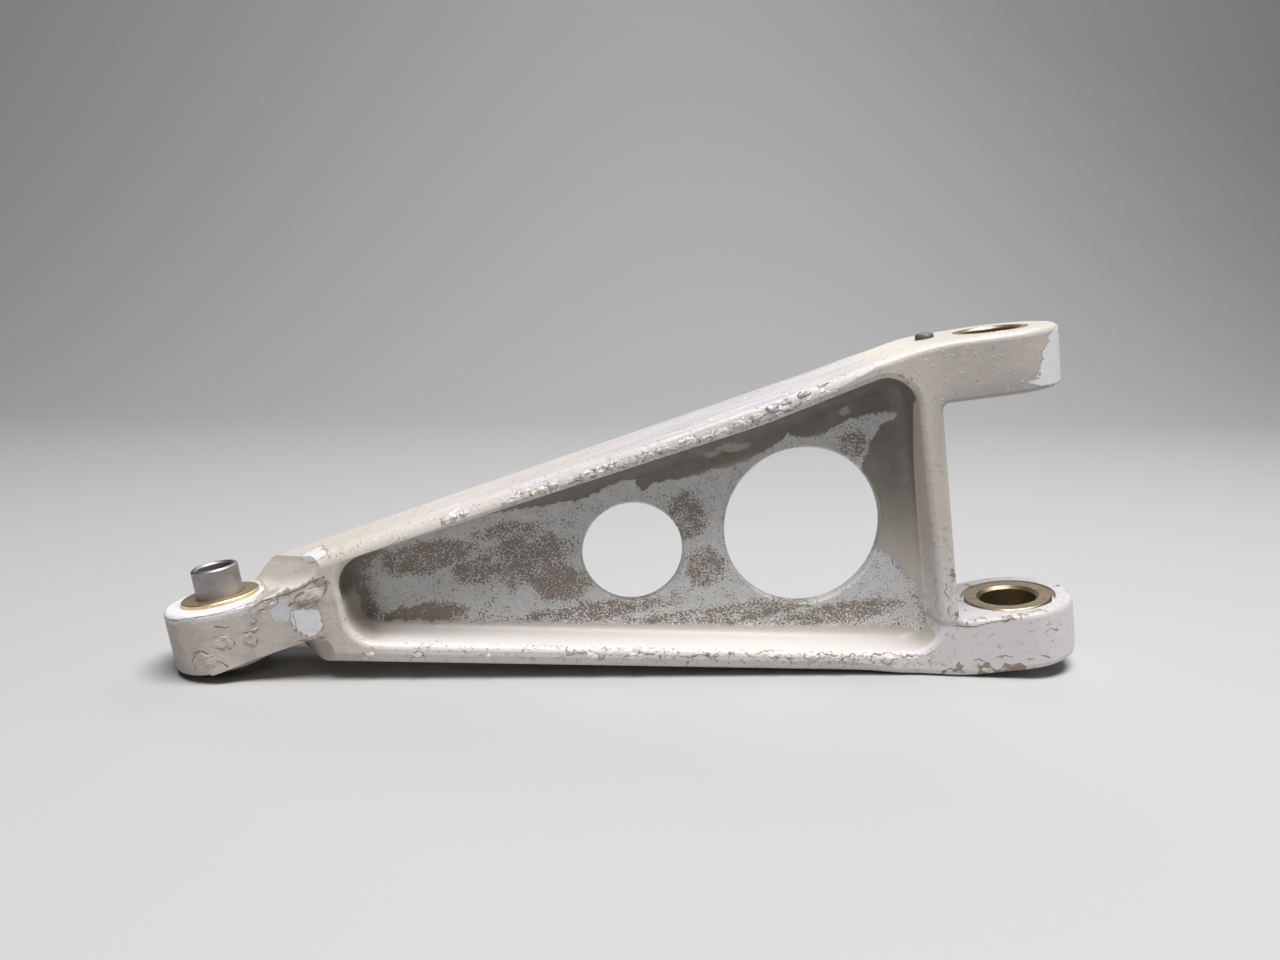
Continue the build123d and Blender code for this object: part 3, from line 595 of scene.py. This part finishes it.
def split_edges(pts, tri, nor, where):
    """Splits each edge at where(its low end, its high end), a share of its length or nan for none."""
    ends = np.stack([tri, tri[:, [1, 2, 0]]], 2)
    lo, hi = ends.min(2), ends.max(2)
    size = len(pts)
    edges, of = np.unique(lo.astype(np.int64) * size + hi, return_inverse=True)
    of = of.reshape(-1, 3)
    a, b = edges // size, edges % size
    t = where(pts[a], pts[b])
    cut = ~np.isnan(t)
    if not cut.any():
        return pts, tri, nor, False
    new = np.full(len(edges), -1)
    new[cut] = size + np.arange(cut.sum())
    pts = np.vstack([pts, pts[a[cut]] + (pts[b[cut]] - pts[a[cut]]) * t[cut, None]])
    m = new[of]
    w = np.nan_to_num(np.where(ends[:, :, 0] == lo, t[of], 1.0 - t[of]))[..., None]
    nm = unit(nor * (1 - w) + nor[:, [1, 2, 0]] * w)
    count = (m >= 0).sum(1)
    out_t, out_n = [tri[count == 0]], [nor[count == 0]]

    def add(*corners):
        out_t.append(np.stack([c[0] for c in corners], 1))
        out_n.append(np.stack([c[1] for c in corners], 1))

    for k in range(3):
        s = (count == 1) & (m[:, k] >= 0)
        v = [(tri[s, (k + i) % 3], nor[s, (k + i) % 3]) for i in range(3)]
        mid = (m[s, k], nm[s, k])
        add(v[0], mid, v[2])
        add(mid, v[1], v[2])
        s = (count == 2) & (m[:, k] < 0)
        for long_way in (False, True):
            v = [(tri[s, (k + i) % 3], nor[s, (k + i) % 3]) for i in range(3)]
            m1, m2 = (m[s, (k + 1) % 3], nm[s, (k + 1) % 3]), (m[s, (k + 2) % 3], nm[s, (k + 2) % 3])
            d1 = np.linalg.norm(pts[v[0][0]] - pts[m1[0]], axis=1)
            d2 = np.linalg.norm(pts[v[1][0]] - pts[m2[0]], axis=1)
            pick = (d1 <= d2) != long_way
            v = [(i[pick], n[pick]) for i, n in v]
            m1, m2 = (m1[0][pick], m1[1][pick]), (m2[0][pick], m2[1][pick])
            add(m1, v[2], m2)
            if long_way:
                add(v[0], v[1], m2)
                add(v[1], m1, m2)
            else:
                add(v[0], v[1], m1)
                add(v[0], m1, m2)
    s = count == 3
    v = [(tri[s, i], nor[s, i]) for i in range(3)]
    mm = [(m[s, i], nm[s, i]) for i in range(3)]
    add(v[0], mm[0], mm[2])
    add(mm[0], v[1], mm[1])
    add(mm[2], mm[1], v[2])
    add(*mm)
    return pts, np.concatenate(out_t), np.concatenate(out_n), True


def cut_at(pts, tri, nor, x0):
    def where(a, b):
        da, db = a[:, 0] - x0, b[:, 0] - x0
        with np.errstate(all="ignore"):
            t = da / (da - db)
        return np.where((da * db < 0) & (np.minimum(abs(da), abs(db)) > 1e-5), t, np.nan)

    return split_edges(pts, tri, nor, where)[:3]


# centre, half-length along the lip, half-width across it, height, and the lip's slope; in mm
UP, LOW = math.atan(0.1677), -math.atan(0.1885)
BLISTERS = [
    ((70.2, 20.7, 13.7), 3.0, 1.9, 0.60, UP), ((74.6, 21.6, 13.6), 1.5, 1.1, 0.35, UP), ((86.8, 23.0, 13.9), 1.6, 1.1, 0.35, UP),
    ((95.6, 24.7, 13.9), 3.0, 1.5, 0.55, UP), ((99.9, 26.0, 13.7), 2.0, 1.5, 0.45, UP), ((109.4, 27.2, 13.9), 2.6, 1.5, 0.60, UP),
    ((113.6, 28.1, 13.9), 2.4, 1.7, 0.65, UP), ((117.4, 28.7, 13.6), 1.9, 1.5, 0.70, UP), ((125.4, 30.5, 13.8), 2.2, 1.4, 0.40, UP),
    ((131.0, 31.2, 13.9), 2.6, 1.4, 0.40, UP), ((138.0, 32.2, 14.0), 2.4, 1.5, 0.40, UP), ((143.6, 32.0, 14.0), 2.2, 1.5, 0.45, UP),
    ((148.2, 33.0, 14.0), 2.6, 1.6, 0.50, UP), ((153.0, 34.6, 14.0), 2.2, 1.6, 0.45, UP), ((158.0, 36.0, 14.0), 2.0, 1.4, 0.30, UP),
    ((163.0, 38.1, 13.5), 2.4, 1.5, 0.55, UP), ((167.0, 39.0, 13.3), 1.9, 1.3, 0.45, UP), ((172.0, 40.4, 13.0), 2.6, 1.4, 0.50, UP),
    ((177.5, 42.2, 12.5), 2.2, 1.2, 0.35, UP), ((42.1, -14.8, 13.8), 1.5, 1.4, 0.40, LOW), ((54.9, -17.1, 13.8), 1.9, 1.7, 0.35, LOW),
    ((74.2, -20.4, 13.9), 1.3, 1.2, 0.35, LOW), ((103.0, -25.2, 14.0), 2.2, 1.2, 0.25, LOW), ((115.4, -27.5, 14.0), 3.0, 1.5, 0.30, LOW),
    ((155.2, -33.8, 14.0), 1.9, 1.4, 0.40, LOW), ((166.0, -36.0, 14.0), 2.4, 1.4, 0.35, LOW), ((174.0, -38.0, 14.0), 2.4, 1.5, 0.35, LOW),
    ((188.0, -40.4, 14.0), 2.6, 1.4, 0.35, LOW), ((3.9, -4.1, 14.9), 3.3, 2.4, 0.35, 0.0), ((10.9, -4.4, 14.0), 2.2, 2.6, 0.40, 0.0),
    ((13.0, 0.5, 14.0), 1.2, 0.5, 0.35, 0.3), ((12.3, -2.0, 14.0), 1.4, 0.5, 0.35, 0.2), ((29.4, 4.9, 14.0), 4.6, 2.4, 0.35, 0.35),
    ((17.0, 4.4, 14.0), 2.8, 1.4, 0.30, 0.2), ((-1.2, -8.2, 14.9), 3.4, 2.4, 0.30, -0.5),
]
WAVES = np.random.default_rng(7).normal(0.0, 1.0, (12, 5))


def crumple(p):
    """An uneven field between about 0 and 1, from a few crossed waves."""
    v = np.zeros(len(p))
    for kx, ky, kz, s, w in WAVES:
        v += np.sin(p[:, 0] * (1.5 + 1.3 * kx) + p[:, 1] * 2.4 * ky + p[:, 2] * 1.8 * kz + s * 3.0)
    return 0.5 + v / 12.0


def paint_lifts(tree):
    """Where the topcoat has lifted: a thin crumpled skin over the body, its edge let in below the surface."""
    rings, spokes = 9, 34
    co, faces, kind = [], [], []
    for at, half, side, high, slope in BLISTERS:
        loc, n, _, _ = tree.find_nearest(Vector(at))
        u = Vector((math.cos(slope), math.sin(slope), 0.0))
        u = (u - n * u.dot(n)).normalized()
        v = n.cross(u)
        base = len(co)
        lift = 1.0 if at[0] < 36 else 1.35
        flat = [(0.0, 0.0, 0.0)]
        for r in range(1, rings + 1):
            for k in range(spokes):
                w = 2 * math.pi * k / spokes
                out = 0.86 + 0.10 * math.sin(3 * w + at[0]) + 0.07 * math.sin(7 * w + 2 * at[0]) + 0.05 * math.sin(11 * w + 5 * at[0])
                flat.append((r / rings, out * math.cos(w) * half * r / rings, out * math.sin(w) * side * r / rings))
        spots = np.array([tuple(loc + u * a + v * b) for _, a, b in flat])
        rough = crumple(spots)
        for (r, a, b), c in zip(flat, rough):
            on, m, _, _ = tree.find_nearest(loc + u * a + v * b)
            h = high * lift * (1 - r ** 4) * (0.15 + 1.15 * c) if r < 1 else -0.10
            co.append(on + m * h)
        for k in range(spokes):
            faces.append((base, base + 1 + k, base + 1 + (k + 1) % spokes))
        for r in range(rings - 1):
            a0, b0 = base + 1 + r * spokes, base + 1 + (r + 1) * spokes
            for k in range(spokes):
                j = (k + 1) % spokes
                faces += [(a0 + k, b0 + k, b0 + j), (a0 + k, b0 + j, a0 + j)]
        kind += [0 if at[0] < 36 else 1] * (len(faces) - len(kind))
    me = bpy.data.meshes.new("paint_lifts")
    me.from_pydata([row(*p) for p in co], [], faces)
    me.polygons.foreach_set("material_index", np.array(kind, np.int32))
    me.shade_smooth()
    o = bpy.data.objects.new("paint_lifts", me)
    scene.collection.objects.link(o)
    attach(o, "link")
    return o


# cracks and the edges of loose flakes, drawn on the front face as (x, y) in mm
CRACKS = [
    [(1.7, -2.1), (3.5, -1.6), (5.6, -2.5), (6.8, -4.8), (5.1, -6.2), (2.6, -5.9), (0.9, -4.6)],
    [(9.3, -2.4), (10.9, -2.3), (12.1, -3.5), (12.5, -5.9), (10.8, -6.8)], [(12.1, 0.4), (14.0, 0.6)], [(10.7, -2.1), (13.8, -2.0)],
    [(2.5, 1.1), (6.4, 0.2)], [(-5.4, -10.7), (-4.9, -5.7), (-2.7, -5.2), (0.6, -7.8), (3.8, -11.2)],
    [(-11.5, 3.7), (-9.9, 3.9), (-4.0, 4.2), (5.7, 4.5), (12.4, 5.2), (20.0, 6.3)], [(20.0, 6.2), (20.5, 4.8), (18.5, 3.7), (15.1, 3.1), (11.9, 3.3)],
    [(20.0, 6.2), (23.5, 6.8), (27.0, 7.6), (30.5, 8.6), (34.4, 9.3)],
    [(23.0, 2.9), (24.7, 4.4), (26.2, 6.0), (30.3, 7.1), (34.4, 8.6), (34.4, 7.0), (31.7, 3.6), (29.2, 1.9), (26.0, 2.3)],
    [(23.3, -7.2), (26.0, -7.0), (31.1, -7.2)], [(23.4, -4.4), (24.0, 1.2)], [(31.7, 3.6), (33.2, 4.6), (33.9, 7.6)],
    [(84.0, 21.3), (87.5, 22.0), (90.0, 22.5)], [(104.0, 25.2), (108.0, 26.0)], [(118.0, 26.8), (121.0, 25.6), (124.0, 27.2)],
    [(138.0, 30.4), (142.0, 30.4), (146.0, 31.4), (151.0, 32.2)], [(160.0, 36.2), (164.0, 37.0), (167.0, 36.6), (171.0, 38.2)],
    [(53.2, -17.8), (53.4, -16.2), (55.0, -15.4), (56.8, -16.6), (56.6, -18.0)], [(57.5, -15.0), (61.0, -14.2)],
    [(96.0, -23.6), (99.0, -23.4), (103.0, -24.6)], [(112.0, -27.0), (116.0, -26.2), (121.0, -27.4)], [(128.0, -29.6), (134.0, -29.8), (139.0, -31.2)],
    [(150.0, -32.6), (154.0, -32.2), (157.0, -33.8)], [(164.0, -35.6), (169.0, -35.4), (174.0, -37.2), (179.0, -37.6)],
    [(183.0, -38.6), (188.0, -38.6), (194.0, -40.6), (199.0, -40.8)], [(206.8, -19.6), (206.2, -22.0), (207.2, -24.5)], [(207.4, -26.5), (206.6, -29.4)],
    [(207.6, -32.9), (212.0, -33.8), (218.0, -33.2), (226.0, -32.8)], [(212.6, -44.4), (214.2, -43.6), (216.0, -44.6)], [(219.0, -44.0), (221.4, -43.2), (223.6, -44.6)],
    [(228.0, -45.6), (232.0, -45.0), (235.0, -46.2)], [(233.5, -38.2), (236.0, -37.4), (238.0, -38.6)],
]


def crack_strips(tree):
    """Each crack as a narrow dark groove with the paint turned up along one side."""
    rng = np.random.default_rng(11)
    co, faces, kind = [], [], []
    for line in CRACKS:
        pts = []
        for (x0, y0), (x1, y1) in zip(line[:-1], line[1:]):
            n = max(2, int(math.hypot(x1 - x0, y1 - y0) / 0.42))
            pts += [(x0 + (x1 - x0) * k / n, y0 + (y1 - y0) * k / n) for k in range(n)]
        pts.append(line[-1])
        pts = np.array(pts)
        push = rng.normal(0, 1.0, pts.shape)
        push = (push + np.roll(push, 1, 0) + np.roll(push, -1, 0)) / 3.0
        border = line[-1] in ((20.0, 6.3), (34.4, 9.3))
        pts[1:-1] += push[1:-1] * (0.12 if border else 0.34)
        wide = 0.35 + 0.6 * np.abs(np.convolve(rng.normal(0, 1.0, len(pts)), np.ones(4) / 2.0, "same"))
        if line[0] == (20.0, 6.2) and line[-1][0] > 30.0:
            wide *= 1.6
        wide[0] = wide[-1] = 0.15
        was = None
        for k, (px, py) in enumerate(pts):
            on, n, _, _ = tree.ray_cast(Vector((px, py, 40.0)), Vector((0.0, 0.0, -1.0)))
            if border and px > 10.0:  # just below the edge, wherever the cut leaves it
                py += 0.8
                for _ in range(24):
                    on, n, _, _ = tree.ray_cast(Vector((px, py, 40.0)), Vector((0.0, 0.0, -1.0)))
                    if on is not None and n.z > 0.85:
                        break
                    py -= 0.1
                on, n, _, _ = tree.ray_cast(Vector((px, py - 0.25, 40.0)), Vector((0.0, 0.0, -1.0)))
            if on is None:
                was = None
                continue
            ahead = pts[min(k + 1, len(pts) - 1)] - pts[max(k - 1, 0)]
            side = n.cross(Vector((ahead[0], ahead[1], 0.0))).normalized()
            w = float(wide[k])
            if py > 3.4 and px < 20.1:
                w *= 0.35
            curl = 0.12
            now = len(co)
            for out, up in ((0.62 * w + 0.1, -0.04), (0.10, curl * w), (0.03, 0.03), (-0.05 - 0.08 * w, 0.025), (-0.10 - 0.10 * w, -0.05)):
                p = on + side * out + n * up
                p.z = min(p.z, 18.2)
                co.append(p)
            if was is not None:
                for j in range(4):
                    faces.append((was + j, now + j, now + j + 1, was + j + 1))
                    kind.append((0 if px < 36 else 3 if px > 203.4 else 1) if j == 0 else 4)
            was = now
    me = bpy.data.meshes.new("paint_cracks")
    me.from_pydata([row(*p) for p in co], [], faces)
    me.polygons.foreach_set("material_index", np.array(kind, np.int32))
    me.shade_smooth()
    o = bpy.data.objects.new("paint_cracks", me)
    scene.collection.objects.link(o)
    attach(o, "link")
    for region in ("apex", "arms", "pocket", "clevis"):
        me.materials.append(bpy.data.materials["paint_" + region])
    q = Net("paint_groove")
    at = q.link_place()[0]
    q.put(q.bsdf.inputs["Base Color"], q.mix(q.ramp(q.grain(at, 0.8, 2.0), 0.35, 0.65), (0.16, 0.125, 0.095), (0.36, 0.30, 0.235)))
    q.bsdf.inputs["Roughness"].default_value = 0.85
    me.materials.append(q.mat)
    return o


def painted_body():
    pts, tri, nor = surface_of("link_body")
    for x0 in (36.0, 203.4):
        pts, tri, nor = cut_at(pts, tri, nor, x0)
    # which paint each face wears
    mid = pts[tri].mean(1)
    x, y, z = mid.T
    up_rim = np.where(x < 160, 14.1 + 0.1677 * (x - 44.8), 33.4 + 0.2345 * (x - 160))
    inside = (x > 36.0) & (x < 203.4) & (np.abs(z) < 12.62) & (y < up_rim + 0.2) & (y > -(3.2 + 0.1885 * x) - 0.2)
    kind = np.where(x < 36.0, 0, np.where(x > 203.4, 3, np.where(inside, 2, 1)))
    me = bpy.data.meshes.new("painted_body")
    me.vertices.add(len(pts))
    me.vertices.foreach_set("co", to_row(pts).astype(np.float32).ravel())
    me.loops.add(tri.size)
    me.loops.foreach_set("vertex_index", tri.astype(np.int32).ravel())
    me.polygons.add(len(tri))
    me.polygons.foreach_set("loop_start", np.arange(0, tri.size, 3, dtype=np.int32))
    me.polygons.foreach_set("material_index", kind.astype(np.int32))
    me.update(calc_edges=True)
    me.polygons.foreach_set("use_smooth", np.ones(len(tri), bool))
    me.normals_split_custom_set(unit(spin_row(nor.reshape(-1, 3))).astype(np.float32))
    o = bpy.data.objects.new("painted_body", me)
    scene.collection.objects.link(o)
    for region in ("apex", "arms", "pocket", "clevis"):
        me.materials.append(paint_material("paint_" + region, region))
    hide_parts("link_body")
    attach(o, "link")
    tree = BVHTree.FromPolygons([Vector(v) for v in pts], [tuple(map(int, t)) for t in tri])
    crack_strips(tree)
    lifts = paint_lifts(tree)
    for region in ("apex", "arms"):
        lifts.data.materials.append(bpy.data.materials["paint_" + region])
    print("painted_body", len(tri), "triangles, lifted paint", len(lifts.data.polygons))
    return o


body = painted_body()
# painted shade: below y = -12.6 the lower bush flange under the apex lug is drawn almost black
bronze = turned_metal("bush_bronze", 0.0, (0.86, 0.68, 0.44), (0.74, 0.55, 0.32), 0.42, soiled=0.3, shade_below=-12.6)
for n in ("apex_bush_upper", "apex_bush_lower"):
    give(n, bronze)
clevis_bronze = turned_metal("clevis_bronze", 230.9, (0.42, 0.34, 0.23), (0.31, 0.25, 0.165), 0.44, soiled=0.4)
for n in ("clevis_bush_upper", "clevis_bush_lower"):
    give(n, clevis_bronze)
give("apex_sleeve", turned_metal("sleeve_steel", 0.0, (0.40, 0.385, 0.385), (0.34, 0.325, 0.325), 0.50, ring=3.4, soiled=0.15, dirt=(0.16, 0.14, 0.13)))
give("arm_plug", turned_metal("plug_metal", 210.0, (0.23, 0.21, 0.215), (0.18, 0.165, 0.17), 0.66, soiled=0.3))
